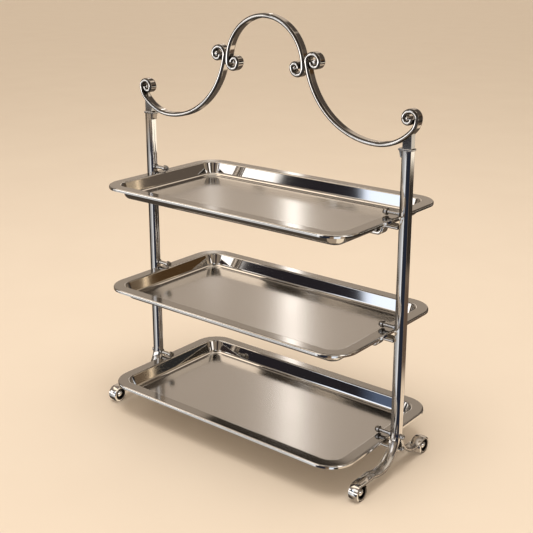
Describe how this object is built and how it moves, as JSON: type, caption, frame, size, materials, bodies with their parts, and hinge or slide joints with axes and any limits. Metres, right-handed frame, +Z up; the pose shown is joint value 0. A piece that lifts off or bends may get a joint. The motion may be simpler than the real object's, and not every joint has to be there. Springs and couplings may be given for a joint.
{
  "type": "tiered serving stand",
  "caption": "Free-standing serving stand with rectangular trays one above another between two strap posts, and a scrolled carrying handle on top.",
  "frame": {"origin": "on the table, under the middle of the trays", "axes": "+X along the trays towards the right post, +Y towards the back, +Z up"},
  "size_m": [0.3888, 0.195, 0.484],
  "materials": {
    "post_steel": "mirror polished",
    "plug_steel": "mirror polished",
    "cap_steel": "mirror polished",
    "stud_steel": "plain, hidden",
    "handle_steel": "mirror polished",
    "eye_steel": "mirror polished",
    "tray_steel": "satin floor, polished walls and rim",
    "cradle_steel": "polished",
    "pin_steel": "mirror polished",
    "nut_steel": "polished"
  },
  "bodies": {
    "frame": {"left_front_leg": "post_steel", "left_front_foot_plug": "plug_steel", "left_rear_leg": "post_steel", "left_rear_foot_plug": "plug_steel", "left_post_cap": "cap_steel", "left_neck_block": "cap_steel", "left_neck_stud": "stud_steel", "right_front_leg": "post_steel", "right_front_foot_plug": "plug_steel", "right_rear_leg": "post_steel", "right_rear_foot_plug": "plug_steel", "right_post_cap": "cap_steel", "right_neck_block": "cap_steel", "right_neck_stud": "stud_steel", "handle_left_scroll": "handle_steel", "handle_right_scroll": "handle_steel", "handle_arch": "handle_steel", "left_end_eye": "eye_steel", "left_upper_eye": "eye_steel", "left_arch_eye": "eye_steel", "right_end_eye": "eye_steel", "right_upper_eye": "eye_steel", "right_arch_eye": "eye_steel", "top_cradle": "cradle_steel", "left_top_pin": "pin_steel", "right_top_pin": "pin_steel", "middle_cradle": "cradle_steel", "left_middle_pin": "pin_steel", "right_middle_pin": "pin_steel", "bottom_cradle": "cradle_steel", "left_bottom_pin": "pin_steel", "right_bottom_pin": "pin_steel", "bottom_pin_nuts": "nut_steel", "bottom_cradle_nuts": "nut_steel"},
    "top_tray_body": {"top_tray": "tray_steel"},
    "middle_tray_body": {"middle_tray": "tray_steel"},
    "bottom_tray_body": {"bottom_tray": "tray_steel"}
  },
  "joints": [
    {"name": "top_tray_slide", "type": "slide", "parent": "frame", "child": "top_tray_body", "axis": [0, -1, 0], "range_m": [-0.108, 0.108]},
    {"name": "middle_tray_slide", "type": "slide", "parent": "frame", "child": "middle_tray_body", "axis": [0, -1, 0], "range_m": [-0.108, 0.108]},
    {"name": "bottom_tray_slide", "type": "slide", "parent": "frame", "child": "bottom_tray_body", "axis": [0, -1, 0], "range_m": [-0.108, 0.108]}
  ]
}
